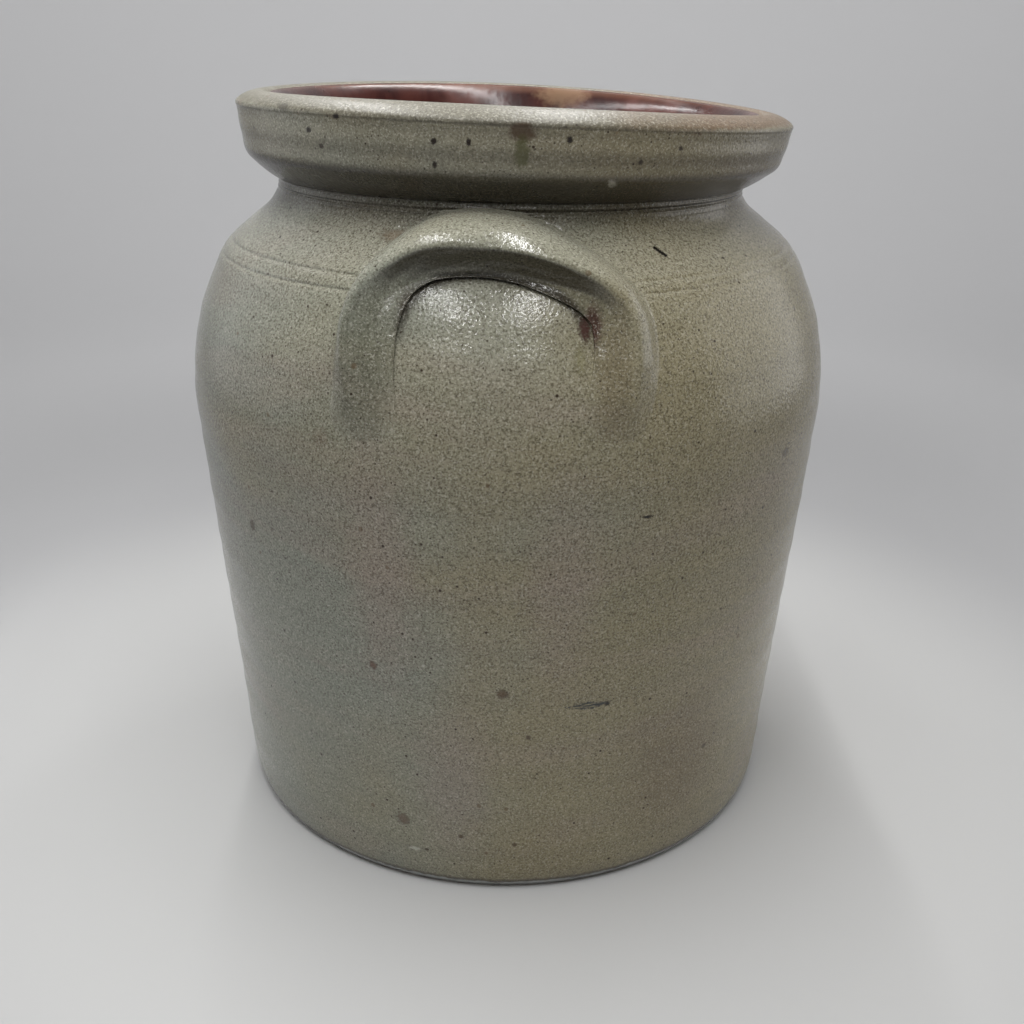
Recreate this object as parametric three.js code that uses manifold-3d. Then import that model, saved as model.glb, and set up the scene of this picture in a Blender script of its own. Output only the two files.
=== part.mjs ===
// Salt-glazed stoneware fermenting crock with a heavy rim and two lug handles.
// Millimetres, +Z up. The origin is the middle of the flat base, and the front handle faces -Y.
import * as THREE from 'three';
import { mergeVertices } from 'three/addons/utils/BufferGeometryUtils.js';
import Module from 'manifold-3d';

const wasm = await Module();
wasm.setup();

// Driving dimensions
const crockHeight = 300;
const footRadius = 119.5;
const footBevel = { width: 2.1, height: 3 };
const bellyRadius = 134.7;
const bellyHeight = 188.5;
const neckRadius = 95.5;
const jointHeight = 269;
const wallThickness = 9.5;
const floorThickness = 12;
const lipCrestRadius = 101.8;
const lipEdgeRadius = 111.5;
const lipBevelDrop = 4.3;
const glazeThickness = 1;
const seam = 0.3;

// The rim sagged and slipped a little in the kiln. The warp grows from the shoulder up to the lip.
const warpStart = 250;
const rimTilt = -0.035;
const rimSaddle = 1.27;
const rimShift = 2;

// Handle strap: heights up its middle line, distances from the crock's axis, and half its width.
// It reaches out least at the crown, which droops as it leaves the shoulder.
const strap = {
  centreAngle: THREE.MathUtils.degToRad(-2.3),
  unrollRadius: 120,
  shoulderHeight: 222,
  crownHeight: 256,
  tailReach: 135.5,
  crownReach: 122.5,
  tailRoot: 122,
  crownRoot: 91,
  rootHalfWidth: 9.2,
  tipHalfWidth: 6.4,
  tipRound: 4,
  droop: 0.12,
  droopRadius: 108,
};
const backHandleTurn = Math.PI;

// Fineness of the facets
const roundSegments = 48;
const wallSteps = 22;
const cavitySteps = 11;
const cornerSteps = 3;
const rimSteps = 5;
const strapStations = 22;
const strapTipSteps = 3;

const wallOutline = new THREE.CatmullRomCurve3([
  new THREE.Vector3(footRadius + footBevel.width, footBevel.height, 0),
  new THREE.Vector3(125.3, 50, 0),
  new THREE.Vector3(129.8, 112, 0),
  new THREE.Vector3(133.6, 166, 0),
  new THREE.Vector3(bellyRadius, bellyHeight, 0),
  new THREE.Vector3(131.2, 213, 0),
  new THREE.Vector3(124.5, 231, 0),
  new THREE.Vector3(117, 244, 0),
  new THREE.Vector3(106, 253.6, 0),
  new THREE.Vector3(98.5, 259.8, 0),
  new THREE.Vector3(neckRadius, 266, 0),
  new THREE.Vector3(neckRadius, jointHeight, 0),
], false, 'centripetal');

function wallPoints(steps) {
  return wallOutline.getPoints(steps).map((point) => new THREE.Vector2(point.x, point.y));
}

// Points moved square to the outline, to the inside of the clay when the distance is negative.
function offsetOutline(points, distance) {
  return points.map((point, index) => {
    const before = points[Math.max(index - 1, 0)];
    const after = points[Math.min(index + 1, points.length - 1)];
    const along = after.clone().sub(before).normalize();
    return new THREE.Vector2(point.x + along.y * distance, point.y - along.x * distance);
  });
}

// Inside of the clay from the middle of the floor to the joint, drawn in by `skin` for the glaze on it.
const floorCornerRadius = 14;

function cavityPoints(skin) {
  const wall = offsetOutline(wallPoints(cavitySteps), -(wallThickness + skin));
  const floor = floorThickness + skin;
  const corner = floor + floorCornerRadius;
  const start = wall.findIndex((point) => point.y > corner);
  const cornerX = wall[start].x - floorCornerRadius;
  const arc = new THREE.Path().absarc(cornerX, corner, floorCornerRadius, -Math.PI / 2, 0);
  const upper = wall.slice(start + 1).filter((point) => point.y < jointHeight - 1);
  return [new THREE.Vector2(0, floor), ...arc.getPoints(cornerSteps), ...upper];
}

// Inside of the rim, from the joint up to where the brown glaze stops just behind the lip.
const rimInnerRadius = neckRadius - wallThickness;
const throat = new THREE.Vector2(rimInnerRadius + 3.5, crockHeight - 6);
const glazeEdge = new THREE.Vector2(98, crockHeight - 1.4);

function rimInsidePoints(skin) {
  const joint = new THREE.Vector2(rimInnerRadius, jointHeight + seam);
  const curve = new THREE.QuadraticBezierCurve(joint, throat, glazeEdge);
  return offsetOutline(curve.getPoints(rimSteps), -skin);
}

function warpWeight(height) {
  return THREE.MathUtils.smoothstep(height, warpStart, crockHeight);
}

function warpGeometry(geometry) {
  const position = geometry.attributes.position;
  for (let i = 0; i < position.count; i += 1) {
    const x = position.getX(i);
    const y = position.getY(i);
    const z = position.getZ(i);
    const weight = warpWeight(z);
    const saddle = -rimSaddle * Math.cos(2 * Math.atan2(y, x));
    position.setXYZ(i, x + weight * rimShift, y, z + weight * (rimTilt * x + saddle));
  }
  return geometry;
}

// A profile of (radius, height) points turned about the upright axis.
function turned(profile) {
  const geometry = new THREE.LatheGeometry(profile, roundSegments);
  geometry.rotateX(Math.PI / 2);
  return warpGeometry(geometry);
}

function crockBody() {
  const foot = [new THREE.Vector2(0, 0), new THREE.Vector2(footRadius, 0)];
  const inside = cavityPoints(0).reverse();
  const top = new THREE.Vector2(rimInnerRadius, jointHeight);
  return turned([...foot, ...wallPoints(wallSteps), top, ...inside]);
}

// The rim's outside: a rounded underside, a nearly upright face, and a bevel up to the crest of the lip.
const undersideCorner = new THREE.Vector2(107, 271.5);
const faceFoot = new THREE.Vector2(109, 284);
const lipEdge = new THREE.Vector2(lipEdgeRadius, crockHeight - lipBevelDrop);
const lipBevel = new THREE.Vector2(107, crockHeight - 1.1);
const lipCrest = new THREE.Vector2(lipCrestRadius, crockHeight);

function rimBand() {
  const neckTop = new THREE.Vector2(neckRadius, jointHeight + seam);
  const underside = new THREE.QuadraticBezierCurve(neckTop, undersideCorner, faceFoot).getPoints(rimSteps);
  const inside = rimInsidePoints(0).reverse();
  return turned([...underside, lipEdge, lipBevel, lipCrest, ...inside, neckTop]);
}

function interiorGlaze() {
  const inset = seam;
  const claySide = [...cavityPoints(inset), ...rimInsidePoints(inset)];
  const openSide = [...cavityPoints(inset + glazeThickness), ...rimInsidePoints(inset + glazeThickness)];
  return turned([...claySide, ...openSide.reverse()]);
}

// Middle line of the strap on the shoulder unrolled, with x round the crock and y its height:
// a tail rising on the left, an arch under the rim, and a tail falling on the right.
const strapPath = new THREE.CatmullRomCurve3([
  new THREE.Vector3(-47, 197, 0),
  new THREE.Vector3(-44.5, 214, 0),
  new THREE.Vector3(-42, 232, 0),
  new THREE.Vector3(-32.5, 246.5, 0),
  new THREE.Vector3(-17, 254, 0),
  new THREE.Vector3(0, 256, 0),
  new THREE.Vector3(17, 253.5, 0),
  new THREE.Vector3(32, 245, 0),
  new THREE.Vector3(41.5, 231, 0),
  new THREE.Vector3(43, 214, 0),
  new THREE.Vector3(40, 198, 0),
], false, 'centripetal');

// One cross-section: a root buried in the shoulder, sides that lean in, and a rounded tip.
function strapSection(height) {
  const towardsCrown = THREE.MathUtils.smoothstep(height, strap.shoulderHeight, strap.crownHeight);
  const reach = THREE.MathUtils.lerp(strap.tailReach, strap.crownReach, towardsCrown);
  const root = THREE.MathUtils.lerp(strap.tailRoot, strap.crownRoot, towardsCrown);
  const tip = [];
  for (let i = 0; i <= strapTipSteps; i += 1) {
    const angle = (Math.PI / 2) * (i / strapTipSteps);
    const across = strap.tipHalfWidth + strap.tipRound * (Math.cos(angle) - 1);
    tip.push(new THREE.Vector2(across, reach + strap.tipRound * (Math.sin(angle) - 1)));
  }
  const rightSide = [new THREE.Vector2(strap.rootHalfWidth, root), ...tip];
  const leftSide = rightSide.map((point) => new THREE.Vector2(-point.x, point.y)).reverse();
  return [...rightSide, ...leftSide];
}

function strapPoint(along, across, radius) {
  const centre = strapPath.getPointAt(along);
  const tangent = strapPath.getTangentAt(along);
  const droop = strap.droop * tangent.x * tangent.x * (radius - strap.droopRadius);
  const unrolled = centre.x + tangent.y * across;
  const height = centre.y - tangent.x * across - droop;
  const angle = strap.centreAngle + unrolled / strap.unrollRadius;
  return [radius * Math.sin(angle), -radius * Math.cos(angle), height];
}

function strapBlank() {
  const positions = [];
  const indices = [];
  let ringSize = 0;
  for (let station = 0; station <= strapStations; station += 1) {
    const along = station / strapStations;
    const ring = strapSection(strapPath.getPointAt(along).y);
    ringSize = ring.length;
    for (const point of ring) {
      positions.push(...strapPoint(along, point.x, point.y));
    }
  }
  for (let station = 0; station < strapStations; station += 1) {
    for (let i = 0; i < ringSize; i += 1) {
      const near = station * ringSize + i;
      const next = station * ringSize + ((i + 1) % ringSize);
      indices.push(near, near + ringSize, next, next, near + ringSize, next + ringSize);
    }
  }
  const last = strapStations * ringSize;
  for (let i = 1; i < ringSize - 1; i += 1) {
    indices.push(0, i, i + 1, last, last + i + 1, last + i);
  }
  const geometry = new THREE.BufferGeometry();
  geometry.setAttribute('position', new THREE.Float32BufferAttribute(positions, 3));
  geometry.setIndex(indices);
  return geometry;
}

function toManifold(geometry) {
  const bare = geometry.clone();
  bare.deleteAttribute('normal');
  bare.deleteAttribute('uv');
  const merged = mergeVertices(bare, 1e-4);
  const mesh = new wasm.Mesh({
    numProp: 3,
    vertProperties: new Float32Array(merged.attributes.position.array),
    triVerts: new Uint32Array(merged.index.array),
  });
  return new wasm.Manifold(mesh);
}

function toGeometry(solid) {
  const mesh = solid.getMesh();
  const geometry = new THREE.BufferGeometry();
  geometry.setAttribute('position', new THREE.BufferAttribute(mesh.vertProperties, 3));
  geometry.setIndex(new THREE.BufferAttribute(mesh.triVerts, 1));
  return geometry;
}

// The crock's outside as a solid, a seam's width larger, which shapes the back of each handle.
function shoulderCutter() {
  const wall = offsetOutline(wallPoints(wallSteps), seam);
  const bottom = new THREE.Vector2(0, wall[0].y);
  const neckEdge = new THREE.Vector2(neckRadius + seam, crockHeight);
  const top = new THREE.Vector2(0, crockHeight);
  return turned([bottom, ...wall, neckEdge, top]);
}

function lugHandle(turn) {
  const blank = strapBlank();
  blank.rotateZ(turn);
  warpGeometry(blank);
  return toGeometry(toManifold(blank).subtract(toManifold(shoulderCutter())));
}

const saltGlaze = new THREE.MeshStandardMaterial({ color: 0x7d7969, roughness: 0.5, metalness: 0 });
const rimGlaze = new THREE.MeshStandardMaterial({ color: 0x857f6c, roughness: 0.5, metalness: 0 });
const handleGlaze = new THREE.MeshStandardMaterial({ color: 0x8b8a7a, roughness: 0.45, metalness: 0 });
const slipGlaze = new THREE.MeshStandardMaterial({ color: 0x50302a, roughness: 0.15, metalness: 0 });

const crock = new THREE.Group();

function addPiece(name, geometry, material) {
  geometry.computeVertexNormals();
  const mesh = new THREE.Mesh(geometry, material);
  mesh.name = name;
  crock.add(mesh);
}

addPiece('crock_body', crockBody(), saltGlaze);
addPiece('rim_band', rimBand(), rimGlaze);
addPiece('lug_handle_front', lugHandle(0), handleGlaze);
addPiece('lug_handle_back', lugHandle(backHandleTurn), handleGlaze);
addPiece('interior_slip_glaze', interiorGlaze(), slipGlaze);

export default crock;
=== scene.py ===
import math

import bmesh
import bpy
import numpy as np
from mathutils import Matrix, Vector


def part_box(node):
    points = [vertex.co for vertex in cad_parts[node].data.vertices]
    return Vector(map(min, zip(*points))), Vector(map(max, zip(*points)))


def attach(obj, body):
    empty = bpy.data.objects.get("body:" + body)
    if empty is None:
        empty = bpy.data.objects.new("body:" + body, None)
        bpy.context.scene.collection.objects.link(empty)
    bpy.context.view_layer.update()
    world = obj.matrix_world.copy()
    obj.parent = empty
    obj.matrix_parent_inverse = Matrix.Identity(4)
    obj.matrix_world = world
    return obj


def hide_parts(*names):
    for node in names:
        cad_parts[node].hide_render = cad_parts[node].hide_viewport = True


# Salt-glazed stoneware fermenting crock. Metres, +Z up, the front handle towards -Y.
# The shapes are worked out in millimetres, the potter's unit, and scaled once when a mesh is made.
MM = 0.001

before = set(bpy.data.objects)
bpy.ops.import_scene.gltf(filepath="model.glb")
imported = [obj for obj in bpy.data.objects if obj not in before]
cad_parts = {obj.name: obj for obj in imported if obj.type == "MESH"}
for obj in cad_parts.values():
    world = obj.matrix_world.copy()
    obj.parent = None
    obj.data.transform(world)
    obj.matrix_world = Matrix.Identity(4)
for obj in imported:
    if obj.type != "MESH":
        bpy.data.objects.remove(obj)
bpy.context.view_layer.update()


def node_radius(name):
    """Half the width of a CAD node along Y, in millimetres."""
    low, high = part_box(name)
    return (high.y - low.y) / 2 / MM


# Driving dimensions, in millimetres. The glaze is thinner than the CAD's, and nearer to a real coating.
CROCK_HEIGHT = 300.0
BELLY_RADIUS = node_radius("crock_body")
LIP_EDGE_RADIUS = node_radius("rim_band")
NECK_RADIUS = 95.5
FOOT_RADIUS = 119.5
FOOT_BEVEL = (2.1, 3.0)
WALL = 9.5
FLOOR = 12.0
FLOOR_CORNER = 14.0
JOINT_HEIGHT = 269.0
GLAZE = 0.6
SEAM = 0.15
LIP_CREST_RADIUS = 101.8
LIP_BEVEL_DROP = 4.3

# The kiln warp: the rim leans, twists into a shallow saddle and slips sideways, more and more towards
# the lip.
WARP_START = 250.0
RIM_TILT = -0.035
RIM_SADDLE = 1.27
RIM_SHIFT = 2.0

# The front handle's place: its middle, and the radius that its path is unrolled at
STRAP_ANGLE = math.radians(-2.3)
STRAP_UNROLL_RADIUS = 120.0

# Points round the turned pieces, and along the inside's floor and its rounded corner
BODY_SEGMENTS = 360
RIM_SEGMENTS = 300
GLAZE_SEGMENTS = 240
FLOOR_POINTS = 13
CORNER_POINTS = 12

# Outside of the wall as (radius, height), foot to neck
WALL_OUTLINE = [
    (FOOT_RADIUS + FOOT_BEVEL[0], FOOT_BEVEL[1]), (122.8, 9), (125.3, 50), (129.8, 112), (133.6, 166),
    (BELLY_RADIUS, 188.5), (131.2, 213), (124.5, 231), (117.2, 244), (106, 253.6), (98.8, 259.6),
    (NECK_RADIUS, 265.5), (NECK_RADIUS, JOINT_HEIGHT),
]


# ---------- Numbers and curves ----------

def smoothstep(low, high, value):
    """0 below low, 1 above high and a soft step between; low may be the greater of the two."""
    t = np.clip((value - low) / (high - low), 0, 1)
    return t * t * (3 - 2 * t)


def mix(a, b, t):
    return a + (b - a) * t


def spline(points, count):
    """Centripetal Catmull-Rom curve through the points, sampled evenly by length."""
    p = np.array(points, float)
    p = np.vstack([2 * p[0] - p[1], p, 2 * p[-1] - p[-2]])
    fine = []
    for p0, p1, p2, p3 in zip(p, p[1:], p[2:], p[3:]):
        t1 = np.linalg.norm(p1 - p0) ** 0.5
        t2 = t1 + np.linalg.norm(p2 - p1) ** 0.5
        t3 = t2 + np.linalg.norm(p3 - p2) ** 0.5
        t = np.linspace(t1, t2, 40, endpoint=False)[:, None]
        a1 = (t1 - t) / t1 * p0 + t / t1 * p1
        a2 = (t2 - t) / (t2 - t1) * p1 + (t - t1) / (t2 - t1) * p2
        a3 = (t3 - t) / (t3 - t2) * p2 + (t - t2) / (t3 - t2) * p3
        b1 = (t2 - t) / t2 * a1 + t / t2 * a2
        b2 = (t3 - t) / (t3 - t1) * a2 + (t - t1) / (t3 - t1) * a3
        fine.append((t2 - t) / (t2 - t1) * b1 + (t - t1) / (t2 - t1) * b2)
    fine.append(p[-2][None, :])
    return resample(np.vstack(fine), count)


def resample(points, count):
    """The same polyline with its points evenly spaced."""
    step = np.r_[0, np.cumsum(np.linalg.norm(np.diff(points, axis=0), axis=1))]
    at = np.linspace(0, step[-1], count)
    return np.stack([np.interp(at, step, points[:, k]) for k in range(points.shape[1])], 1)


def bezier(start, pull, end, count):
    """A quadratic curve from start to end, drawn towards pull."""
    start, pull, end = (np.array(point, float) for point in (start, pull, end))
    t = np.linspace(0, 1, count)[:, None]
    return (1 - t) ** 2 * start + 2 * t * (1 - t) * pull + t * t * end


def offset(points, distance):
    """Points of a rising polyline moved square to it: outwards, or towards the axis when negative."""
    along = np.gradient(points, axis=0)
    along /= np.linalg.norm(along, axis=1)[:, None]
    return points + np.stack([along[:, 1], -along[:, 0]], 1) * distance


def ripple(seed, angle, height, around, up, count=9):
    """Smooth seeded waviness over the crock, within about -1 to 1, the same on every run."""
    rng = np.random.default_rng(seed)
    total = 0
    for _ in range(count):
        turns = rng.integers(0, around + 1)
        rise = rng.uniform(0.2, 1) * up
        strength = rng.uniform(0.5, 1)
        start = rng.uniform(0, 2 * np.pi)
        total = total + strength * np.cos(turns * angle + rise * height + start)
    return total / count ** 0.5


WALL_CURVE = spline(WALL_OUTLINE, 1600)


def wall_radius(height):
    """Radius of the smooth outside wall at a height."""
    return np.interp(height, WALL_CURVE[:, 1], WALL_CURVE[:, 0])


def warp(points):
    """The kiln warp, on an array of points in millimetres."""
    x, y, z = points.T
    weight = smoothstep(WARP_START, CROCK_HEIGHT, z)
    saddle = -RIM_SADDLE * np.cos(2 * np.arctan2(y, x))
    return np.stack([x + weight * RIM_SHIFT, y, z + weight * (RIM_TILT * x + saddle)], 1)


def on_axis(angle, radius, height):
    """Points in space from their angle round the crock (0 towards -Y), radius and height."""
    return np.stack([radius * np.sin(angle), -radius * np.cos(angle), height], -1)


# ---------- Meshes ----------

def make_mesh(name, points, faces):
    """A smooth-shaded object from points in millimetres."""
    mesh = bpy.data.meshes.new(name)
    mesh.from_pydata((points * MM).tolist(), [], faces)
    mesh.validate()
    work = bmesh.new()
    work.from_mesh(mesh)
    bmesh.ops.recalc_face_normals(work, faces=work.faces)
    work.to_mesh(mesh)
    work.free()
    mesh.shade_smooth()
    piece = bpy.data.objects.new(name, mesh)
    bpy.context.scene.collection.objects.link(piece)
    return piece


def ring_faces(rows, columns, closed_rows):
    """Quads of a grid that closes on itself along its columns, and along its rows where asked."""
    faces = []
    for i in range(rows if closed_rows else rows - 1):
        below = (i + 1) % rows * columns
        here = i * columns
        for j in range(columns):
            k = (j + 1) % columns
            faces.append((here + j, here + k, below + k, below + j))
    return faces


def turned(name, profile, segments, detail, closed=False):
    """A profile of (radius, height) turned about the axis. Its ends lie on the axis unless it closes on
    itself. detail(angle, radius, height) gives how far each point stands off the true circle."""
    angle = np.linspace(0, 2 * np.pi, segments, endpoint=False)
    body = profile if closed else profile[1:-1]
    radius = np.repeat(body[:, :1], segments, 1)
    height = np.repeat(body[:, 1:], segments, 1)
    around = np.repeat(angle[None, :], len(body), 0)
    radius = radius + detail(around, radius, height)
    points = on_axis(around, radius, height).reshape(-1, 3)
    faces = ring_faces(len(body), segments, closed)
    if not closed:
        first, last = len(points), len(points) + 1
        points = np.vstack([points, [[0, 0, profile[0, 1]], [0, 0, profile[-1, 1]]]])
        top_row = (len(body) - 1) * segments
        for j in range(segments):
            k = (j + 1) % segments
            faces.append((first, k, j))
            faces.append((last, top_row + j, top_row + k))
    return make_mesh(name, warp(points), faces)


# ---------- Shapes of the pieces ----------

def groove(height, centre, width, depth):
    """A round-bottomed line cut round the pot while it turned."""
    return -depth * np.exp(-(((height - centre) / width) ** 2))


# Lines cut round the shoulder and round the neck: (height, half width, depth)
SHOULDER_LINES = [(245.8, 0.6, 0.75), (241.6, 0.55, 0.65)]
NECK_LINES = [
    (264.2, 0.5, 0.3), (265.4, 0.35, -0.25), (266.3, 0.4, 0.5), (267.3, 0.4, -0.3), (268.4, 0.4, 0.35),
]

# The shoulder lines stop beside the handles: cosines of the angles from a handle where they are gone and
# where they are whole
LINES_GONE = 0.95
LINES_WHOLE = 0.905


def thrown_surface(angle, height):
    """Throwing rings and a slightly uneven wall, as how far it stands off the smooth outline."""
    drift = 0.9 * np.sin(angle + 0.6) + 0.5 * np.sin(2 * angle + 1.9)
    rings = 0.09 * np.sin(height / 3.1 + drift) + 0.06 * np.sin(height / 1.7 + 2 * drift)
    lumps = 0.32 * ripple(3, angle, height, 3, 0.03) + 0.12 * ripple(8, angle, height, 9, 0.09)
    neck = 1 - smoothstep(255, 262, height)
    return smoothstep(4, 20, height) * (rings + lumps) * (0.35 + 0.65 * neck)


def outside_detail(angle, radius, height):
    """The thrown surface and the cut lines. None of it reaches the inside."""
    beside_handles = smoothstep(LINES_GONE, LINES_WHOLE, np.abs(np.cos(angle)))
    cuts = 0
    for lines, present in ((SHOULDER_LINES, beside_handles), (NECK_LINES, 1)):
        for centre, width, depth in lines:
            wander = 0.35 * np.sin(angle * 2 + centre)
            pressure = 0.75 + 0.25 * np.sin(angle * 3 + centre * 1.7)
            cuts = cuts + groove(height + wander, centre, width, depth) * pressure * present
    return (thrown_surface(angle, height) + cuts) * (radius > wall_radius(height) - 1)


def cavity(skin):
    """Inside of the clay from the middle of the floor up to the joint, drawn in by skin."""
    wall = offset(WALL_CURVE[::4], -(WALL + skin))
    floor = FLOOR + skin
    corner = floor + FLOOR_CORNER
    wall = wall[(wall[:, 1] > corner) & (wall[:, 1] < JOINT_HEIGHT - 1)]
    centre = wall[0, 0] - FLOOR_CORNER
    turn = np.linspace(-np.pi / 2, 0, CORNER_POINTS)
    arc = np.stack([centre + FLOOR_CORNER * np.cos(turn), corner + FLOOR_CORNER * np.sin(turn)], 1)
    radii = np.linspace(0, centre, FLOOR_POINTS, endpoint=False)
    ground = np.stack([radii, np.full_like(radii, floor)], 1)
    return np.vstack([ground, arc, wall[1:]])


# Rows of points up the outside, as (from height, to height, rows): close together where the cut lines run
OUTSIDE_ROWS = [(0, 238, 96), (238, 250, 46), (250, 263, 24), (263, 270, 28)]


def crock_body():
    """Flat underside, trimmed bevel, thrown wall up to the joint under the rim, and back down the inside."""
    foot = np.array([(0, 0), (40, 0), (80, 0), (FOOT_RADIUS - 1.2, 0), (FOOT_RADIUS - 0.3, 0.25)], float)
    bevel = bezier((FOOT_RADIUS, 0.6), (FOOT_RADIUS + 0.8, 2.4), WALL_OUTLINE[0], 5)
    outside = []
    for low, high, count in OUTSIDE_ROWS:
        share = WALL_CURVE[(WALL_CURVE[:, 1] >= low) & (WALL_CURVE[:, 1] < high)]
        outside.append(resample(share, count))
    top = [(NECK_RADIUS - WALL, JOINT_HEIGHT)]
    inside = cavity(0)[::-1][::14]
    end = [(0, FLOOR)]
    profile = np.vstack([foot, bevel[:-1], *outside, top, inside[1:-1], end])
    return turned("stoneware_body", profile, BODY_SEGMENTS, outside_detail)


# Corners of the rim's section
RIM_INSIDE_RADIUS = NECK_RADIUS - WALL
RIM_START = (NECK_RADIUS, JOINT_HEIGHT + SEAM)
UNDERSIDE_END = (106.4, 276.8)
FACE_START = (108.6, 281.4)
FACE_END = (LIP_EDGE_RADIUS - 0.7, CROCK_HEIGHT - LIP_BEVEL_DROP - 1.4)
LIP_EDGE = (LIP_EDGE_RADIUS + 0.1, CROCK_HEIGHT - LIP_BEVEL_DROP)
BEVEL_START = (LIP_EDGE_RADIUS - 1.7, CROCK_HEIGHT - LIP_BEVEL_DROP + 1.3)
LIP_CREST = (LIP_CREST_RADIUS, CROCK_HEIGHT)
THROAT = (RIM_INSIDE_RADIUS + 3.5, CROCK_HEIGHT - 6)
GLAZE_EDGE = (98.0, CROCK_HEIGHT - 1.4)


def rim_inside(skin, count):
    """Throat of the rim from the joint up to the edge of the glaze, drawn in by skin."""
    curve = bezier((RIM_INSIDE_RADIUS, JOINT_HEIGHT + SEAM), THROAT, GLAZE_EDGE, count)
    return offset(curve, -skin)


def rim_detail(angle, radius, height):
    """A hand-pressed band: slow lumps, faint rings, a soft edge that isn't quite even."""
    outside = radius > LIP_CREST_RADIUS + 0.5
    above = smoothstep(JOINT_HEIGHT + 1, JOINT_HEIGHT + 8, height)
    lumps = 0.35 * ripple(21, angle, height, 5, 0.08) + 0.12 * ripple(22, angle, height, 14, 0.3)
    rings = 0.1 * np.sin(height / 1.3 + 0.8 * np.sin(angle + 1))
    return above * (lumps + rings * outside)


def rim_band():
    """Flared underside, tall face, sharp outer edge, bevelled lip, and the throat back down to the joint."""
    underside = bezier(RIM_START, (99, 270.2), UNDERSIDE_END, 24)
    turn = bezier(UNDERSIDE_END, (107.9, 278.2), FACE_START, 12)
    face = bezier(FACE_START, (110, 287.5), FACE_END, 30)
    edge = bezier(FACE_END, LIP_EDGE, BEVEL_START, 8)
    bevel = bezier(BEVEL_START, (106.5, CROCK_HEIGHT - 0.5), LIP_CREST, 16)
    crest = bezier(LIP_CREST, (99.6, CROCK_HEIGHT + 0.1), GLAZE_EDGE, 8)
    inside = rim_inside(0, 20)[::-1]
    radii = np.linspace(RIM_INSIDE_RADIUS, NECK_RADIUS, 6)[1:-1]
    joint = np.stack([radii, np.full_like(radii, JOINT_HEIGHT + SEAM)], 1)
    outside = np.vstack([underside[:-1], turn, face[1:], edge[1:], bevel[1:], crest[1:]])
    profile = np.vstack([outside, inside[1:], joint])
    return turned("thrown_rim", profile, RIM_SEGMENTS, rim_detail, closed=True)


def inside_detail(angle, radius, height):
    """Finger rings left inside the wall under the glaze."""
    wall = smoothstep(30, 50, height) * (1 - smoothstep(240, 262, height))
    rings = 0.22 * np.sin(height / 2.9 + angle) * wall
    return np.where(radius > 60, rings + 0.15 * ripple(31, angle, height, 4, 0.05) * wall, 0)


def slip_glaze_lining():
    """A thin closed skin of glaze over the floor, wall and throat, with a rounded edge behind the lip."""
    def path(skin, count):
        wall = resample(cavity(skin), count)
        return np.vstack([wall, rim_inside(skin, 16)])
    clay_side = path(SEAM, 40)
    open_side = path(SEAM + GLAZE, 90)
    rounding = bezier(clay_side[-1], (98.4, CROCK_HEIGHT - 0.9), open_side[-1], 5)[1:-1]
    profile = np.vstack([clay_side, rounding, open_side[::-1]])
    return turned("slip_glaze_lining", profile, GLAZE_SEGMENTS, inside_detail)


# Middle line of the strap on the shoulder unrolled, as (distance round the crock, height)
STRAP_PATH = [
    (-41, 178), (-40.5, 194), (-40.3, 210), (-41, 222), (-41, 233), (-38.6, 242), (-33.5, 249.5),
    (-25.5, 254.6), (-16.5, 256.5), (-7, 257), (2, 256.5), (12, 254.6), (24.5, 250), (34.5, 244.3),
    (40.8, 236.5), (42, 227.5), (40.6, 217), (38.2, 207), (35.5, 197), (31.5, 181),
]

# Radius that the strap's face reaches, by the height of its middle line
STRAP_REACH = [
    (178, 134.8), (200, 135.3), (210, 135.8), (222, 134.8), (233, 131.8), (242, 128), (250, 124.6),
    (257, 121.8),
]

# Outline of the strap from its outer to its inner side, as (across, share of the way out from the wall to
# the face, relief): where it arches under the neck, where it runs down the wall, and where its tails fade
CROWN_SECTION = [
    (-11, 0, 0), (-10.2, 0.065, 0), (-10.2, 0.27, 0), (-9.4, 0.52, 0), (-7.6, 0.76, 0), (-4.8, 0.945, 0),
    (-2.4, 1, 0), (0, 1, -1.7), (2.6, 1, -4), (5.4, 1, -5.8), (7.5, 1, -6.6), (8.9, 0.55, -3), (8.4, 0.25, 0),
    (6.6, 0, 0),
]
LEFT_LEG_SECTION = [
    (-12.8, 0, 0), (-11.4, 0.05, 0), (-10.4, 0.27, 0), (-9.6, 0.56, 0), (-8.4, 0.84, 0), (-6.8, 0.98, 0),
    (-5.2, 1, 0), (-3.2, 1, -1.4), (-0.6, 1, -3.1), (3, 1, -4.8), (6.2, 0.98, -5.8), (8.7, 0.8, -5.4),
    (9.8, 0.36, -1.8), (9.6, 0, 0),
]
RIGHT_LEG_SECTION = [
    (-13.2, 0, 0), (-12, 0.05, 0), (-10.6, 0.2, 0), (-9, 0.42, 0), (-7.2, 0.66, 0), (-5, 0.88, 0),
    (-3, 0.98, 0), (-1.4, 1, -0.4), (0.6, 1, -2), (3.2, 1, -4.2), (6, 0.97, -5.6), (8.4, 0.78, -5.2),
    (9.8, 0.36, -1.8), (9.8, 0, 0),
]
TAIL_SECTION = [
    (-15, 0, 0), (-13.6, 0.05, 0), (-12.2, 0.18, 0), (-10.8, 0.38, 0), (-9.2, 0.62, 0), (-7.2, 0.84, 0),
    (-5, 0.96, 0), (-2.6, 1, -0.2), (0, 1, -0.5), (3, 0.96, -0.5), (6, 0.8, -0.4), (9, 0.5, -0.2),
    (12, 0.18, 0), (14.5, 0, 0),
]
STRAP_STATIONS = 190
SECTION_POINTS = 66

# The strap's tails fade over this share of its length at either end, and between these heights its section
# turns from a leg's into a tail's
TAIL_SHARE = 0.15
TAIL_HEIGHTS = (192, 216)

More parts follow.
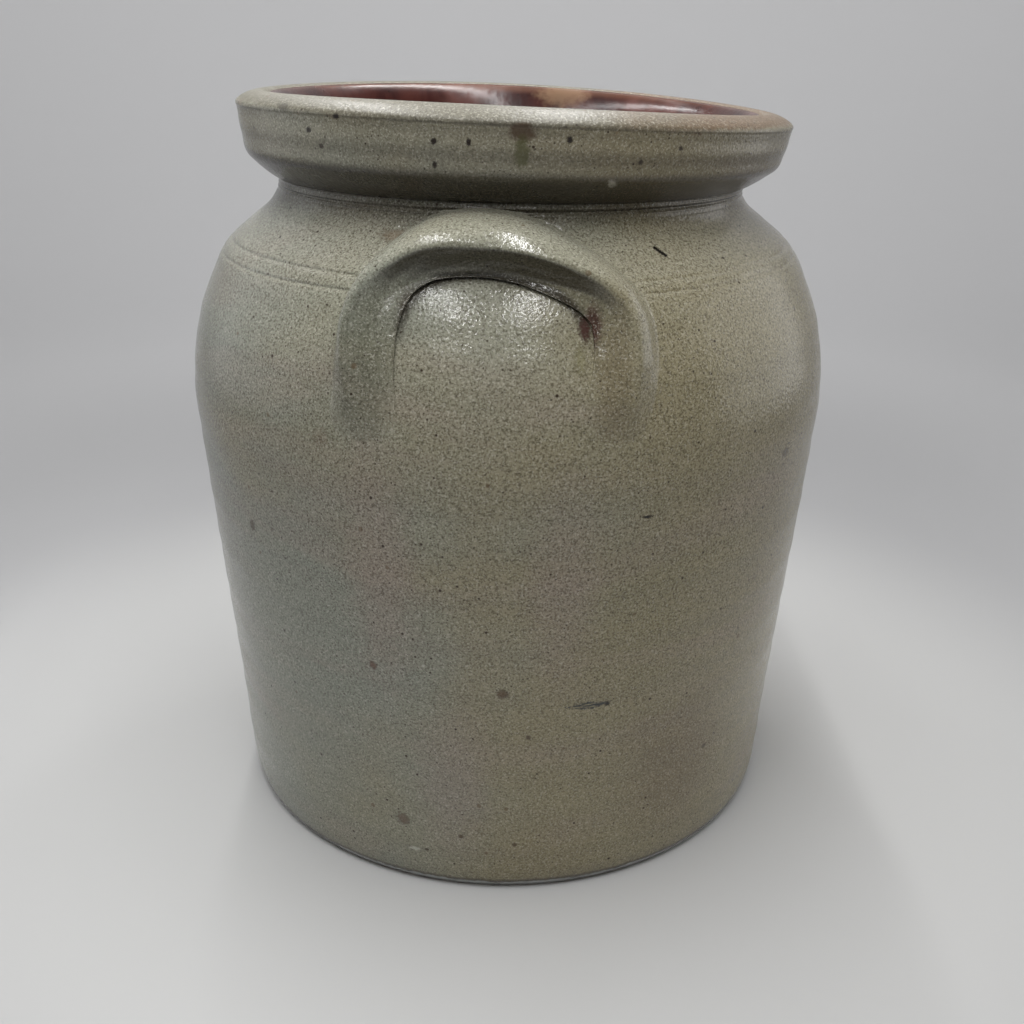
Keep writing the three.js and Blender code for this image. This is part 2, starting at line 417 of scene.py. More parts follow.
# Where along the strap the left leg's section gives way to the right one's, and how level the strap has to
# run for the crown's section to take over, from not at all to wholly
LEG_SWAP = (0.4, 0.6)
CROWN_LEVEL = (0.25, 0.95)

# How far the strap's feathered edge, its tails and its hidden back run into the wall
SKIRT_SINK = 0.15
TAIL_SINK = 0.6
BURIED = 2.5

# How far the strap stands off the wall where its relief is whole, and the depth of its pulling marks
FULL_RELIEF_STAND = 9
PULLING_MARKS = 0.3


def lug_handle(name, turn, seed):
    """A pulled strap bent into an arch and pressed on to the shoulder, with a ledge for the fingers."""
    line = spline(STRAP_PATH, STRAP_STATIONS)
    along = np.gradient(line, axis=0)
    along /= np.linalg.norm(along, axis=1)[:, None]
    reach_height, reach_radius = np.array(STRAP_REACH).T
    sections = (CROWN_SECTION, LEFT_LEG_SECTION, RIGHT_LEG_SECTION, TAIL_SECTION)
    crown, left, right, tail = (np.array(outline) for outline in sections)
    rows = []
    for index, ((round_x, height), (tx, ty)) in enumerate(zip(line, along)):
        share = index / (STRAP_STATIONS - 1)
        end_fade = smoothstep(0, TAIL_SHARE, share) * (1 - smoothstep(1 - TAIL_SHARE, 1, share))
        leg = mix(left, right, smoothstep(*LEG_SWAP, share))
        outline = mix(leg, crown, smoothstep(*CROWN_LEVEL, tx))
        section = spline(mix(tail, outline, smoothstep(*TAIL_HEIGHTS, height)), SECTION_POINTS)
        across, out, relief = section.T
        base_height = height - tx * across
        base_angle = STRAP_ANGLE + (round_x + ty * across) / STRAP_UNROLL_RADIUS
        base = wall_radius(base_height) + thrown_surface(base_angle + turn, base_height)
        face = np.interp(height, reach_height, reach_radius)
        stand = np.maximum(face - base, 0) * end_fade
        lift = out * stand + relief * np.minimum(stand / FULL_RELIEF_STAND, 1)
        drag = PULLING_MARKS * ripple(41 + seed, across / 3, share * 60, 4, 0.5) * np.clip(lift / 5, 0, 1)
        sunk = SKIRT_SINK * (1 - np.clip(lift, 0, 1)) + TAIL_SINK * (1 - end_fade)
        outer = on_axis(base_angle, base + lift + drag - sunk, base_height)
        buried = on_axis(base_angle[::-5], base[::-5] - BURIED, base_height[::-5])
        rows.append(np.vstack([outer, buried]))
    columns = len(rows[0])
    points = np.vstack(rows)
    faces = ring_faces(STRAP_STATIONS, columns, False)
    faces.append(tuple(range(columns)))
    faces.append(tuple(reversed(range((STRAP_STATIONS - 1) * columns, len(points)))))
    spin = np.array(Matrix.Rotation(turn, 3, "Z"))
    return make_mesh(name, warp(points @ spin.T), faces)


# ---------- Materials ----------

class Nodes:
    """Short names for building a node tree."""

    def __init__(self, name):
        self.material = bpy.data.materials.new(name)
        self.material.use_nodes = True
        self.tree = self.material.node_tree
        self.shader = self.tree.nodes["Principled BSDF"]
        self.place = self.add("ShaderNodeTexCoord").outputs["Object"]
        self.edges = {}

    def add(self, kind, **settings):
        node = self.tree.nodes.new(kind)
        for key, value in settings.items():
            setattr(node, key, value)
        return node

    def plug(self, source, socket):
        if isinstance(source, bpy.types.NodeSocket):
            self.tree.links.new(source, socket)
        else:
            socket.default_value = source

    def math(self, operation, a, b=0.0):
        node = self.add("ShaderNodeMath", operation=operation)
        self.plug(a, node.inputs[0])
        self.plug(b, node.inputs[1])
        return node.outputs[0]

    def scaled(self, x, y, z):
        node = self.add("ShaderNodeVectorMath", operation="MULTIPLY")
        self.plug(self.place, node.inputs[0])
        node.inputs[1].default_value = (x, y, z)
        return node.outputs[0]

    def noise(self, scale, detail=2.0, rough=0.5, vector=None, distortion=0.0):
        node = self.add("ShaderNodeTexNoise")
        self.plug(vector or self.place, node.inputs["Vector"])
        node.inputs["Scale"].default_value = scale
        node.inputs["Detail"].default_value = detail
        node.inputs["Roughness"].default_value = rough
        node.inputs["Distortion"].default_value = distortion
        return node.outputs["Fac"]

    def span(self, value, low, high, to_low=0.0, to_high=1.0, smooth=True):
        """value from low..high turned into to_low..to_high."""
        node = self.add("ShaderNodeMapRange")
        node.interpolation_type = "SMOOTHSTEP" if smooth else "LINEAR"
        self.plug(value, node.inputs["Value"])
        for key, number in zip(("From Min", "From Max", "To Min", "To Max"), (low, high, to_low, to_high)):
            node.inputs[key].default_value = number
        return node.outputs["Result"]

    def blend(self, factor, a, b, how="MIX"):
        node = self.add("ShaderNodeMix", data_type="RGBA", blend_type=how)
        self.plug(factor, node.inputs[0])
        self.plug(a, node.inputs[6])
        self.plug(b, node.inputs[7])
        return node.outputs[2]

    def axis(self, name):
        node = self.add("ShaderNodeSeparateXYZ")
        self.plug(self.place, node.inputs[0])
        return node.outputs[name]

    def up(self):
        """How much the surface faces up, from -1 to 1."""
        node = self.add("ShaderNodeSeparateXYZ")
        self.plug(self.add("ShaderNodeNewGeometry").outputs["Normal"], node.inputs[0])
        return node.outputs["Z"]

    def specks(self, scale, size, keep):
        """Round grains at the middle of some cells, scale cells per metre. keep is the share of cells."""
        cells = self.add("ShaderNodeTexVoronoi", feature="F1")
        self.plug(self.place, cells.inputs["Vector"])
        cells.inputs["Scale"].default_value = scale
        pick = self.add("ShaderNodeSeparateColor")
        self.plug(cells.outputs["Color"], pick.inputs[0])
        chosen = self.math("LESS_THAN", pick.outputs[0], keep)
        grain = self.math("MULTIPLY", pick.outputs[1], size)
        reach = self.math("ADD", grain, size * 0.45)
        inside = self.math("SUBTRACT", reach, cells.outputs["Distance"])
        dot = self.span(inside, 0.0, size * 0.5)
        return self.math("MULTIPLY", dot, chosen)

    def spot(self, centre, size, soft=0.4, ragged=0.35):
        """A mark round a point on the surface, in metres. size is its (x, y, z) half widths or one number."""
        away = self.add("ShaderNodeVectorMath", operation="SUBTRACT")
        self.plug(self.place, away.inputs[0])
        away.inputs[1].default_value = centre
        sizes = size if isinstance(size, tuple) else (size, size, size)
        shrink = self.add("ShaderNodeVectorMath", operation="DIVIDE")
        self.plug(away.outputs[0], shrink.inputs[0])
        shrink.inputs[1].default_value = sizes
        length = self.add("ShaderNodeVectorMath", operation="LENGTH")
        self.plug(shrink.outputs[0], length.inputs[0])
        scale = 2.0 ** round(math.log2(1.4 / min(sizes)))
        if scale not in self.edges:
            self.edges[scale] = self.span(self.noise(scale, 2.0, 0.6), 0.2, 0.8, -1.0, 1.0, False)
        wear = self.math("MULTIPLY", self.edges[scale], ragged)
        worn = self.math("ADD", length.outputs["Value"], wear)
        return self.span(worn, 1.0 - soft, 1.0 + soft, 1.0, 0.0)

    def stain(self, colour, tint, strength, centre, size, soft=0.4, ragged=0.35):
        """The colour with a mark of another colour on it."""
        mark = self.spot(centre, size, soft, ragged)
        return self.blend(self.math("MULTIPLY", mark, strength), colour, tint)

    def bump(self, height, distance, strength=1.0, under=None):
        node = self.add("ShaderNodeBump")
        node.inputs["Strength"].default_value = strength
        node.inputs["Distance"].default_value = distance
        self.plug(height, node.inputs["Height"])
        if under is not None:
            self.plug(under, node.inputs["Normal"])
        return node.outputs["Normal"]


def rgb(red, green, blue):
    """An sRGB colour, 0 to 255, as the linear colour that a node takes."""
    def linear(value):
        value /= 255
        return value / 12.92 if value <= 0.04045 else ((value + 0.055) / 1.055) ** 2.4
    return (linear(red), linear(green), linear(blue), 1.0)


def rim_level(n):
    """Height on the rim, less what its lean adds."""
    return n.math("ADD", n.axis("Z"), n.math("MULTIPLY", n.axis("X"), -RIM_TILT))


def on_wall(degrees, height, lift=0.0):
    """A point on the outside of the crock, in metres, from its angle round the crock and its height."""
    angle = math.radians(degrees)
    radius = float(wall_radius(height)) + lift
    return (radius * math.sin(angle) * MM, -radius * math.cos(angle) * MM, height * MM)


GREY_GREEN = rgb(140, 143, 130)
OLIVE = rgb(148, 140, 112)
MAUVE = rgb(152, 138, 126)
BROWN_HAZE = rgb(126, 112, 90)
IRON = rgb(52, 40, 30)
IRON_BLOOM = rgb(92, 72, 48)
DEEP_SHADE = rgb(62, 54, 42)
BLACK_SLIP = rgb(26, 22, 15)

# Soft clouds of colour on the wall: (angle round the crock in degrees, height, half width, half height,
# strength, colour)
CLOUDS = [
    (-20, 145, 11, 42, 0.55, MAUVE),
    (-34, 60, 16, 40, 0.45, rgb(134, 138, 126)),
    (-4, 120, 9, 60, 0.5, rgb(146, 138, 112)),
    (-9, 52, 12, 30, 0.5, MAUVE),
    (9, 140, 11, 34, 0.45, MAUVE),
    (24, 118, 17, 46, 0.6, rgb(144, 136, 106)),
    (34, 52, 24, 30, 0.6, BROWN_HAZE),
    (6, 20, 26, 16, 0.45, rgb(138, 128, 98)),
    (52, 150, 14, 40, 0.4, rgb(138, 128, 104)),
    (-62, 120, 20, 60, 0.35, rgb(136, 138, 130)),
    (100, 90, 30, 50, 0.5, BROWN_HAZE),
    (150, 150, 26, 50, 0.45, MAUVE),
    (-150, 80, 30, 46, 0.45, rgb(134, 138, 126)),
    (-105, 170, 26, 40, 0.4, rgb(146, 138, 112)),
]


def stoneware_colour_and_top_light(n):
    """Salt-glazed clay: cooler to the left, warmer and browner to the right and below, in soft drifts, with
    painted light on what faces up.
    """
    drift = n.span(n.noise(7.0, 3.0, 0.55, n.scaled(1.0, 1.0, 1.5), 0.4), 0.25, 0.75, -0.5, 0.5, False)
    side = n.math("ADD", n.math("MULTIPLY", n.axis("X"), 4.2), drift)
    colour = n.blend(n.span(side, -0.55, 0.25), GREY_GREEN, OLIVE)
    for degrees, height, wide, tall, strength, tint in CLOUDS:
        size = (wide * MM, wide * MM, tall * MM)
        colour = n.stain(colour, tint, strength, on_wall(degrees, height), size, 0.75, 0.3)
    bands = n.noise(10.0, 4.0, 0.6, n.scaled(0.6, 0.6, 3.2), 0.7)
    colour = n.blend(n.span(bands, 0.45, 0.75, 0.0, 0.45), colour, MAUVE)
    # Painted light: what faces up is made paler
    return n.blend(n.span(n.up(), 0.25, 0.9, 0.0, 0.4), colour, rgb(166, 164, 148))


# Sizes of the fine mottle, as cells per metre; its pale flecks are partly painted glints
DARK_MOTTLE = 1200.0
PALE_FLECKS_AND_GLINTS = 1300.0

# Iron that burned through the glaze, from pepper to blooms: (cells per metre, size, share of cells, strength,
# colour)
IRON_GRAINS = [
    (520.0, 0.17, 0.5, 0.75, IRON),
    (200.0, 0.1, 0.62, 0.95, IRON),
    (90.0, 0.08, 0.5, 0.6, IRON_BLOOM),
]


def grain(n, colour, amount=1.0):
    """Sandy mottle, stronger up the wall, pale flecks that are partly painted glints, grains of iron, and
    painted shade on what faces down.
    """
    sandy = n.span(n.axis("Z"), 0.03, 0.16, 0.5 * amount, 0.68 * amount)
    mottle = n.span(n.noise(DARK_MOTTLE, 2.0, 0.7), 0.42, 0.68)
    colour = n.blend(n.math("MULTIPLY", mottle, sandy), colour, rgb(110, 96, 74), "MULTIPLY")
    # Pale flecks in the glaze, partly painted glints
    pale = n.noise(PALE_FLECKS_AND_GLINTS, 1.0, 0.6)
    colour = n.blend(n.span(pale, 0.52, 0.72, 0.0, 0.22), colour, rgb(230, 226, 210), "SCREEN")
    for scale, size, keep, strength, tint in IRON_GRAINS:
        colour = n.blend(n.math("MULTIPLY", n.specks(scale, size, keep), strength), colour, tint)
    # Painted shade: what faces down is made darker
    return n.blend(n.span(n.up(), -0.02, -0.6, 0.0, 0.85), colour, rgb(116, 106, 92), "MULTIPLY")


# The orange peel, as (cells per metre, depth in metres), coarse and fine
COARSE_PEEL = (330.0, 0.00013)
FINE_PEEL = (850.0, 0.0002)


def salt_skin(n, gloss_low=0.12, gloss_high=0.26, dry=0.0):
    """The orange-peel surface of salt glaze: its roughness and fine relief. dry is where it was wiped."""
    patches = n.noise(26.0, 3.0, 0.6)
    rough = n.span(patches, 0.3, 0.7, gloss_low, gloss_high, False)
    n.plug(n.math("ADD", rough, n.math("MULTIPLY", dry, 0.2)), n.shader.inputs["Roughness"])
    peel = None
    for scale, depth in (COARSE_PEEL, FINE_PEEL):
        peel = n.bump(n.noise(scale, 1.0, 0.5), depth, 0.8, peel)
    n.plug(peel, n.shader.inputs["Normal"])
    n.shader.inputs["IOR"].default_value = 1.5


# Marks on the body: (angle round the crock in degrees, height, half width, half height, strength, colour)
BODY_MARKS = [
    (-48.0, 146.7, 1.6, 1.8, 0.8, rgb(72, 58, 44)),
    (-22.7, 102.9, 1.4, 1.6, 0.75, rgb(92, 62, 46)),
    (-0.4, 96.5, 2.0, 1.6, 0.8, rgb(84, 62, 40)),
    (-19.1, 31.5, 2.5, 2.4, 0.65, rgb(92, 68, 54)),
    (17.6, 88.8, 0.9, 0.9, 0.95, rgb(24, 22, 20)),
    (-14.6, 18.0, 0.7, 0.6, 0.9, rgb(60, 48, 36)),
    (4.0, 76.5, 0.8, 0.8, 0.8, rgb(70, 50, 36)),
    (-8.0, 27.0, 0.9, 0.8, 0.8, rgb(74, 56, 38)),
    (2.0, 24.0, 0.8, 0.8, 0.8, rgb(74, 52, 34)),
    (41.0, 52.0, 1.0, 0.9, 0.8, rgb(66, 54, 38)),
    (52.3, 176.3, 2.2, 1.6, 0.7, rgb(84, 76, 62)),
    (21.8, 166.3, 1.9, 0.5, 0.95, rgb(26, 22, 18)),
    (-17.0, 17.2, 3.0, 1.1, 0.7, rgb(190, 188, 172)),
    (-13.6, 106.5, 0.9, 0.8, 0.6, rgb(190, 188, 172)),
    (-29.0, 192.5, 3.0, 3.2, 0.2, rgb(112, 84, 72)),
    (11.8, 232.5, 1.8, 5.0, 0.85, rgb(66, 32, 28)),
    (10.8, 223.0, 1.8, 9.0, 0.35, rgb(120, 116, 76)),
    (-23.0, 258.0, 5.5, 1.8, 0.45, rgb(112, 88, 68)),
    (118.0, 141.0, 2.4, 2.0, 0.8, rgb(62, 48, 38)),
    (163.0, 88.0, 2.0, 2.3, 0.8, rgb(66, 50, 38)),
    (-131.0, 60.0, 2.6, 2.2, 0.7, rgb(74, 56, 42)),
]


def body_marks(n, colour):
    """Each mark, with a ring of iron where it fades."""
    for degrees, height, wide, tall, strength, tint in BODY_MARKS:
        size = (wide * MM, wide * MM, tall * MM)
        mark = n.spot(on_wall(degrees, height), size, 0.5, 0.5)
        colour = n.blend(n.math("MULTIPLY", mark, strength), colour, tint)
        ring = n.math("MULTIPLY", mark, n.math("SUBTRACT", 1.0, mark))
        colour = n.blend(n.math("MULTIPLY", ring, 1.8 * strength), colour, IRON)
    return colour


def tick(n, colour):
    """A short slanting dash of black slip beside the neck."""
    for step in range(-2, 3):
        centre = on_wall(29.6 + 0.34 * step, 253.3 - 0.55 * step)
        colour = n.stain(colour, BLACK_SLIP, 0.97, centre, 0.85 * MM, 0.35)
    return colour


def kiln_scuff(n, colour):
    """A short blue-black rub, broken into strokes along its length."""
    patch = n.spot(on_wall(14.5, 89.2), (8.6 * MM, 5.0 * MM, 1.5 * MM), 0.3, 0.5)
    strokes = n.span(n.noise(900.0, 2.0, 0.5, n.scaled(0.22, 0.22, 1.6)), 0.42, 0.6, 0.1, 0.95)
    return n.blend(n.math("MULTIPLY", patch, strokes), colour, rgb(48, 52, 56))


def foot_colours(n, colour):
    """A dark line just above the bevel, a pale trimmed bevel under it that is painted light from the floor,
    and bare clay underneath.
    """
    wander = n.span(n.noise(90.0, 3.0, 0.6), 0.2, 0.8, -0.0009, 0.0009, False)
    level = n.math("ADD", n.axis("Z"), wander)
    line = n.math("MULTIPLY", n.span(level, 0.0036, 0.0042), n.span(level, 0.0058, 0.0044))
    colour = n.blend(n.math("MULTIPLY", line, 0.6), colour, DEEP_SHADE)
    # Painted light: the floor's light thrown up on the trimmed bevel
    colour = n.blend(n.span(level, 0.0042, 0.0034, 0.0, 0.85), colour, rgb(164, 166, 164))
    return n.blend(n.span(n.axis("Z"), 0.0007, 0.0002), colour, rgb(150, 122, 96))


# Heights between which the shade in the neck, and under the rim, comes in, and those of the wiped lip's edge
NECK_SHADE = (0.2585, 0.2665)
RIM_SHADE = (0.2795, 0.2765)
LIP_WIPED = (0.2948, 0.2968)


def body_material():
    """The wall, with painted shade in the neck and in the crevices under the handles, and its marks and its
    foot.
    """
    n = Nodes("salt_glazed_body")
    colour = stoneware_colour_and_top_light(n)
    # Painted shade in the neck, all round
    neck = n.span(n.axis("Z"), *NECK_SHADE)
    colour = n.blend(n.math("MULTIPLY", neck, 0.6), colour, DEEP_SHADE)
    colour = painted_crevice_shade(n, colour, 0.1, 0.2)
    colour = grain(n, colour)
    colour = kiln_scuff(n, tick(n, body_marks(n, colour)))
    colour = foot_colours(n, colour)
    n.plug(colour, n.shader.inputs["Base Color"])
    salt_skin(n)
    return n.material


# Marks on the rim band, a brown drip with green in it, a white scuff, grains of iron, and a grey smudge on
# the lip: (angle round the crock in degrees, height, half width, half height, strength, colour)
RIM_MARKS = [
    (1.0, 294.0, 4.2, 3.0, 0.85, rgb(66, 47, 27)),
    (1.0, 287.5, 2.4, 4.8, 0.75, rgb(72, 72, 38)),
    (17.0, 276.8, 1.9, 1.6, 0.6, rgb(176, 172, 158)),
    (-14.0, 290.5, 1.0, 1.1, 1.0, rgb(34, 26, 18)),
    (-14.0, 283.0, 0.9, 1.2, 1.0, rgb(34, 26, 18)),
    (-8.0, 290.5, 0.8, 1.2, 1.0, rgb(34, 26, 18)),
    (9.0, 291.5, 0.9, 1.2, 1.0, rgb(34, 26, 18)),
    (-33.0, 297.0, 1.1, 0.9, 1.0, rgb(34, 26, 18)),
    (-40.0, 292.0, 1.0, 0.9, 1.0, rgb(34, 26, 18)),
    (-37.0, 287.0, 0.9, 0.9, 0.9, rgb(44, 34, 24)),
    (22.0, 284.0, 0.8, 0.9, 0.9, rgb(44, 34, 24)),
    (30.0, 288.0, 0.8, 0.8, 0.9, rgb(44, 34, 24)),
    (-47.0, 299.0, 2.2, 1.2, 0.7, rgb(70, 66, 58)),
]


def rim_material():
    """The band is duller than the wall, with painted shade under it; its lip is wiped buff, and toasted
    orange on the right.
    """
    n = Nodes("salt_glazed_rim")
    colour = n.blend(0.35, stoneware_colour_and_top_light(n), rgb(118, 110, 94))
    level = rim_level(n)
    # Painted shade under the rim
    colour = n.blend(n.span(level, *RIM_SHADE, 0.0, 0.5), colour, DEEP_SHADE)
    wander = n.span(n.noise(160.0, 3.0, 0.6), 0.2, 0.8, -0.0008, 0.0008, False)
    ragged = n.math("ADD", level, wander)
    lip = n.span(ragged, *LIP_WIPED)
    drift = n.span(n.noise(22.0, 3.0), 0.3, 0.7, -0.02, 0.02, False)
    toast = n.span(n.math("ADD", n.axis("X"), drift), 0.03, 0.085)
    buff = n.blend(n.math("MULTIPLY", toast, 0.8), rgb(106, 102, 88), rgb(110, 85, 62))
    colour = n.blend(n.math("MULTIPLY", lip, 0.9), colour, buff)
    rust = n.span(n.noise(95.0, 4.0, 0.7), 0.56, 0.7)
    line = n.math("MULTIPLY", n.span(ragged, 0.2935, 0.2948), n.span(ragged, 0.2968, 0.2953))
    colour = n.blend(n.math("MULTIPLY", n.math("MULTIPLY", rust, line), 0.7), colour, rgb(110, 82, 56))
    colour = grain(n, colour, 0.7)
    radius = LIP_EDGE_RADIUS - 1
    for degrees, height, wide, tall, strength, tint in RIM_MARKS:
        angle = math.radians(degrees)
        centre = Vector((radius * math.sin(angle) + RIM_SHIFT, -radius * math.cos(angle), height)) * MM
        colour = n.stain(colour, tint, strength, centre, (wide * MM, 6 * MM, tall * MM))
    n.plug(colour, n.shader.inputs["Base Color"])
    salt_skin(n, 0.18, 0.32, lip)
    return n.material


# Inner edge of the arch, seen square on: middle, half width, height of its springing, rise, and how much its
# crown falls away to the right
ARCH_MIDDLE = -4.6
ARCH_HALF_WIDTH = 32.0
ARCH_SPRING = 222.0
ARCH_RISE = 26.2
ARCH_FALL = 0.13
ARCH_POWER = 3.0


def arch(n):
    """1 along the inner edge of either handle's arch, less inside it and more out over the strap."""
    facing = n.math("MULTIPLY", n.math("SIGN", n.axis("Y")), -1.0)
    across = n.math("SUBTRACT", n.math("MULTIPLY", n.axis("X"), facing), ARCH_MIDDLE * MM)
    wide = n.math("ABSOLUTE", n.math("MULTIPLY", across, 1 / (ARCH_HALF_WIDTH * MM)))
    fall = n.math("MULTIPLY", n.math("MAXIMUM", across, 0.0), ARCH_FALL)
    rise = n.math("SUBTRACT", n.math("ADD", n.axis("Z"), fall), ARCH_SPRING * MM)
    tall = n.math("MAXIMUM", n.math("MULTIPLY", rise, 1 / (ARCH_RISE * MM)), 0.0)
    total = n.math("ADD", n.math("POWER", wide, ARCH_POWER), n.math("POWER", tall, ARCH_POWER))
    return n.math("POWER", total, 1 / ARCH_POWER)


def painted_crevice_shade(n, colour, inward, outward):
    """Painted shade in the crevice under the arch, and none of it further down the legs."""
    reach = arch(n)
    line = n.math("MULTIPLY", n.span(reach, 1 - inward, 1.0), n.span(reach, 1 + outward, 1.01))
    high = n.span(n.axis("Z"), 0.222, 0.238)
    return n.blend(n.math("MULTIPLY", n.math("MULTIPLY", line, high), 0.85), colour, rgb(44, 36, 27))


# Iron run into the corner of the pocket, painted shade on the legs, slip smeared where the strap was joined,
# and
# painted shade in the left corner: (angle round the crock in degrees, height, lift off the wall, half sizes,
# strength, colour)
HANDLE_STAINS_AND_SHADE = [
    (13.0, 233.5, 1.5, (2.8, 6.0, 7.0), 0.85, rgb(66, 32, 28)),
    (-22.0, 222.0, 5.0, (10.5, 12.0, 24.0), 0.5, rgb(94, 95, 78)),
    (15.5, 222.0, 5.0, (6.0, 9.0, 26.0), 0.4, rgb(112, 98, 72)),
    (-20.0, 258.5, 2.0, (7.5, 6.0, 1.8), 0.5, rgb(112, 88, 68)),
    (-16.0, 239.0, 2.0, (2.5, 6.0, 6.0), 0.5, rgb(70, 60, 46)),
]


def handle_material(name, turn):
    """The same clay and salt as the wall, with painted shade in the strap's cove and in its crevice, and its
    stains.
    """
    n = Nodes(name)
    colour = stoneware_colour_and_top_light(n)
    # Painted shade on the strap's cove, which faces down and forward, fading out lower down the legs
    wander = n.span(n.noise(45.0, 3.0), 0.3, 0.7, -0.08, 0.08, False)
    cove = n.span(n.math("ADD", arch(n), wander), 1.55, 1.3)
    cove = n.math("MULTIPLY", cove, n.span(n.axis("Z"), 0.198, 0.23))
    colour = n.blend(n.math("MULTIPLY", cove, 0.35), colour, rgb(92, 90, 70))
    colour = painted_crevice_shade(n, colour, 0.1, 0.12)
    spin = Matrix.Rotation(turn, 3, "Z")
    for degrees, height, lift, size, strength, tint in HANDLE_STAINS_AND_SHADE:
        centre = spin @ Vector(on_wall(degrees, height, lift))
        colour = n.stain(colour, tint, strength, centre, tuple(part * MM for part in size), 0.5, 0.3)
    colour = grain(n, colour, 0.85)
    n.plug(colour, n.shader.inputs["Base Color"])
    salt_skin(n)
    return n.material


def slip_material():
    """Maroon-brown glaze, glassy, streaked where it ran, and thin over the throat."""
    n = Nodes("brown_slip_glaze")
    runs = n.noise(60.0, 4.0, 0.6, n.scaled(1.0, 1.0, 0.22), 0.6)
    colour = n.blend(n.span(runs, 0.3, 0.7), rgb(46, 21, 19), rgb(74, 40, 34))
    cloud = n.noise(24.0, 3.0, 0.6)
    colour = n.blend(n.span(cloud, 0.52, 0.75, 0.0, 0.6), colour, rgb(120, 84, 78))
    edge = n.span(rim_level(n), 0.2965, 0.2992)
    colour = n.blend(n.math("MULTIPLY", edge, 0.4), colour, rgb(120, 84, 66))
    tan = rgb(142, 116, 92)
    colour = n.stain(colour, tan, 0.6, (0.026, 0.095, 0.2965), (0.012, 0.01, 0.006), 0.5, 0.4)
    colour = n.blend(n.math("MULTIPLY", n.specks(300.0, 0.16, 0.14), 0.6), colour, rgb(34, 20, 16))
    n.plug(colour, n.shader.inputs["Base Color"])
    n.plug(n.span(n.noise(40.0), 0.3, 0.7, 0.18, 0.28, False), n.shader.inputs["Roughness"])
    n.shader.inputs["Specular IOR Level"].default_value = 0.3
    n.plug(n.bump(n.noise(260.0, 2.0), 0.0002, 0.5), n.shader.inputs["Normal"])
    return n.material


def floor_material():
    """Pale matte sheet, a little greyer in a ring round the crock and paler again beyond it: painted shade in
    the ring, painted light beyond.
    """
    n = Nodes("pale_floor")
    length = n.add("ShaderNodeVectorMath", operation="LENGTH")
    n.plug(n.place, length.inputs[0])
    away = length.outputs["Value"]
    colour = n.blend(n.span(away, 0.22, 0.4), rgb(206, 206, 205), rgb(180, 180, 181))
    colour = n.blend(n.span(away, 0.45, 0.85), colour, rgb(208, 208, 209))
    n.plug(colour, n.shader.inputs["Base Color"])
    n.shader.inputs["Roughness"].default_value = 0.65
    n.plug(n.bump(n.noise(500.0), 0.0001, 0.2), n.shader.inputs["Normal"])
    return n.material


# ---------- Stage ----------

CAMERA_PLACE = (0, -0.4977, 0.3215)
CAMERA_PITCH_YAW_ROLL = (22.37, 0.28, -0.61)
CAMERA_LENS = 40.43


def add_camera():
    """Above and in front of the crock, looking down at it, as close as a phone is held."""
    pitch, yaw, roll = (math.radians(angle) for angle in CAMERA_PITCH_YAW_ROLL)
    forward = Vector((math.sin(yaw) * math.cos(pitch), math.cos(yaw) * math.cos(pitch), -math.sin(pitch)))
    level = Vector((math.cos(yaw), -math.sin(yaw), 0))
    down = forward.cross(level)
    right = math.cos(roll) * level + math.sin(roll) * down
    up = math.sin(roll) * level - math.cos(roll) * down
    data = bpy.data.cameras.new("camera")
    data.sensor_width = 36.0
    data.lens = CAMERA_LENS
    data.clip_start = 0.01
    camera = bpy.data.objects.new("camera", data)
    turn = Matrix((right, up, -forward)).transposed()
    camera.matrix_world = Matrix.Translation(CAMERA_PLACE) @ turn.to_4x4()
    bpy.context.scene.collection.objects.link(camera)
    bpy.context.scene.camera = camera


def add_floor():
    """A flat pale floor that sweeps up into a wall all round, well outside every camera."""
    flat, corner, top = 1.15, 0.75, 1.7
    turn = np.linspace(0, np.pi / 2, 24)
    rise = [(flat + corner * math.sin(t), corner - corner * math.cos(t)) for t in turn]
    profile = np.array([(0.3, 0), (0.7, 0), *rise, (flat + corner, top)]) / MM
    segments = 96
    angle = np.linspace(0, 2 * np.pi, segments, endpoint=False)
    rows = [on_axis(angle, radius, np.full(segments, height)) for radius, height in profile]
    points = np.vstack([*rows, [[0, 0, 0]]])
    faces = ring_faces(len(profile), segments, False)
    faces += [(len(points) - 1, j, (j + 1) % segments) for j in range(segments)]
    floor = make_mesh("floor", points, faces)
    floor.data.materials.append(floor_material())


def add_panel(name, place, target, size, power):
    """A soft rectangular light that faces its target and isn't itself seen."""
    data = bpy.data.lights.new(name, "AREA")
    data.shape = "RECTANGLE"
    data.size, data.size_y = size
    data.energy = power
    lamp = bpy.data.objects.new(name, data)
    lamp.location = place
    lamp.rotation_euler = (Vector(target) - Vector(place)).to_track_quat("-Z", "Y").to_euler()
    lamp.visible_camera = False
    bpy.context.scene.collection.objects.link(lamp)


STRIP_X = (-0.175, 0.062)
STRIP_Y = -0.15
STRIP_HEIGHT = 0.6
STRIP_SIZE = (0.022, 0.92)
SIDE_POWER = {-1: 0.5, 1: 1.0}


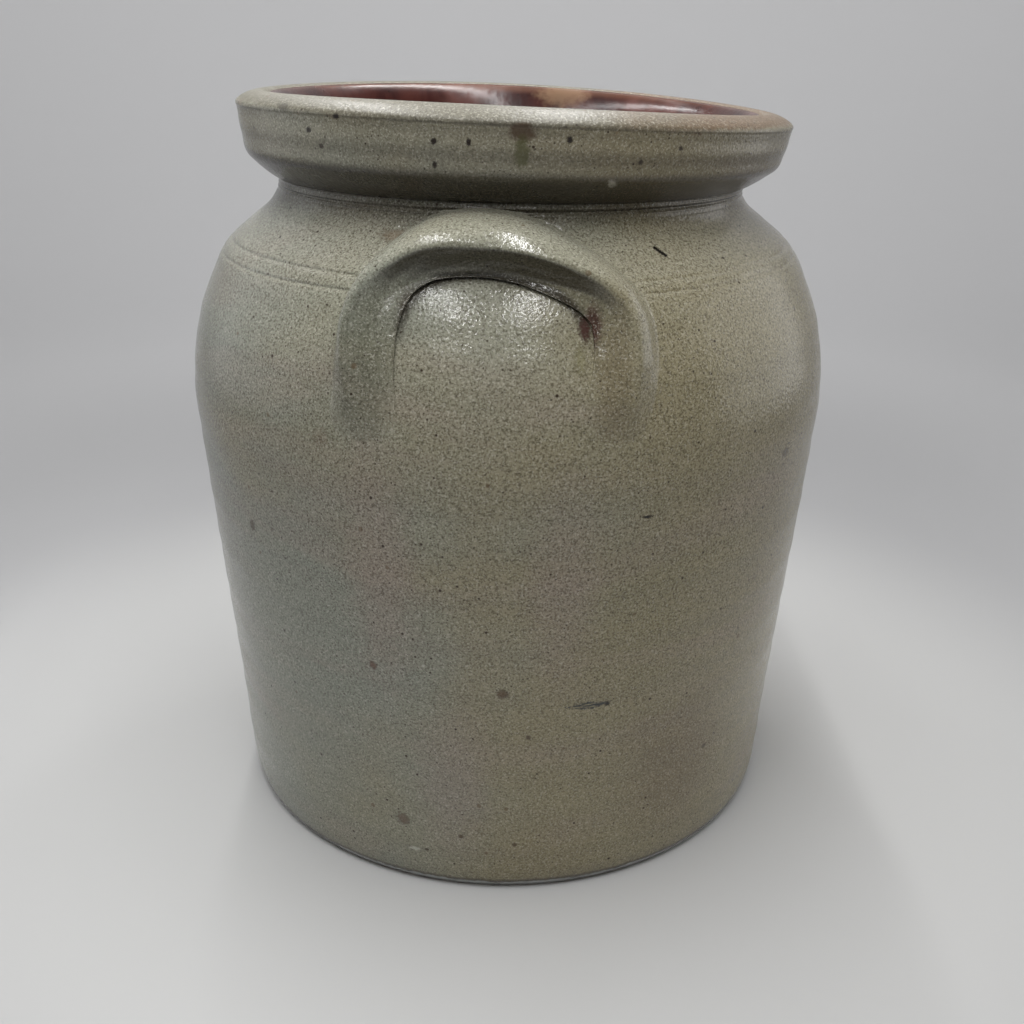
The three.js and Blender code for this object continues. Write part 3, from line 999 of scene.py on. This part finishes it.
def add_lights():
    """Two long strips overhead that run front to back, soft sides, and a wash on the wall behind."""
    for x in STRIP_X:
        add_panel(f"strip_{x:+.3f}", (x, STRIP_Y, STRIP_HEIGHT), (x, STRIP_Y, 0.0), STRIP_SIZE, 2.3)
    for side, power in SIDE_POWER.items():
        add_panel(f"side_{side:+d}", (side * 0.66, 0.05, 0.32), (0, 0.0, 0.15), (0.62, 0.5), power)
    add_panel("behind", (0, 1.0, 1.6), (0, 1.9, 0.7), (2.2, 0.8), 17.0)
    add_world()
    bpy.context.scene.view_settings.view_transform = "Standard"


def add_world():
    """A grey studio, brighter behind the crock than in front of it."""
    world = bpy.data.worlds.new("studio")
    world.use_nodes = True
    nodes, links = world.node_tree.nodes, world.node_tree.links
    direction = nodes.new("ShaderNodeTexCoord").outputs["Generated"]
    axes = nodes.new("ShaderNodeSeparateXYZ")
    links.new(direction, axes.inputs[0])
    fade = nodes.new("ShaderNodeMapRange")
    fade.interpolation_type = "SMOOTHSTEP"
    for key, value in zip(("From Min", "From Max", "To Min", "To Max"), (-0.3, 0.8, 0.03, 0.36)):
        fade.inputs[key].default_value = value
    links.new(axes.outputs["Y"], fade.inputs["Value"])
    links.new(fade.outputs["Result"], nodes["Background"].inputs["Strength"])
    nodes["Background"].inputs["Color"].default_value = (1.0, 1.0, 1.0, 1)
    bpy.context.scene.world = world


# ---------- Assembly ----------

def place(piece, material, slot, *nodes):
    """Gives a piece its material, hangs it under the root, and hides the CAD nodes that it stands in for."""
    piece.data.materials.append(material)
    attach(piece, "root")
    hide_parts(*nodes)


add_camera()
add_floor()
add_lights()
place(crock_body(), body_material(), "body_salt_glaze", "crock_body")
place(rim_band(), rim_material(), "rim_salt_glaze", "rim_band")
place(slip_glaze_lining(), slip_material(), "brown_slip_glaze", "interior_slip_glaze")
for side, turn, seed in (("front", 0.0, 1), ("back", math.pi, 2)):
    lug = lug_handle(f"{side}_lug", turn, seed)
    place(lug, handle_material(f"salt_glazed_{side}_lug", turn), "handle_salt_glaze", f"lug_handle_{side}")
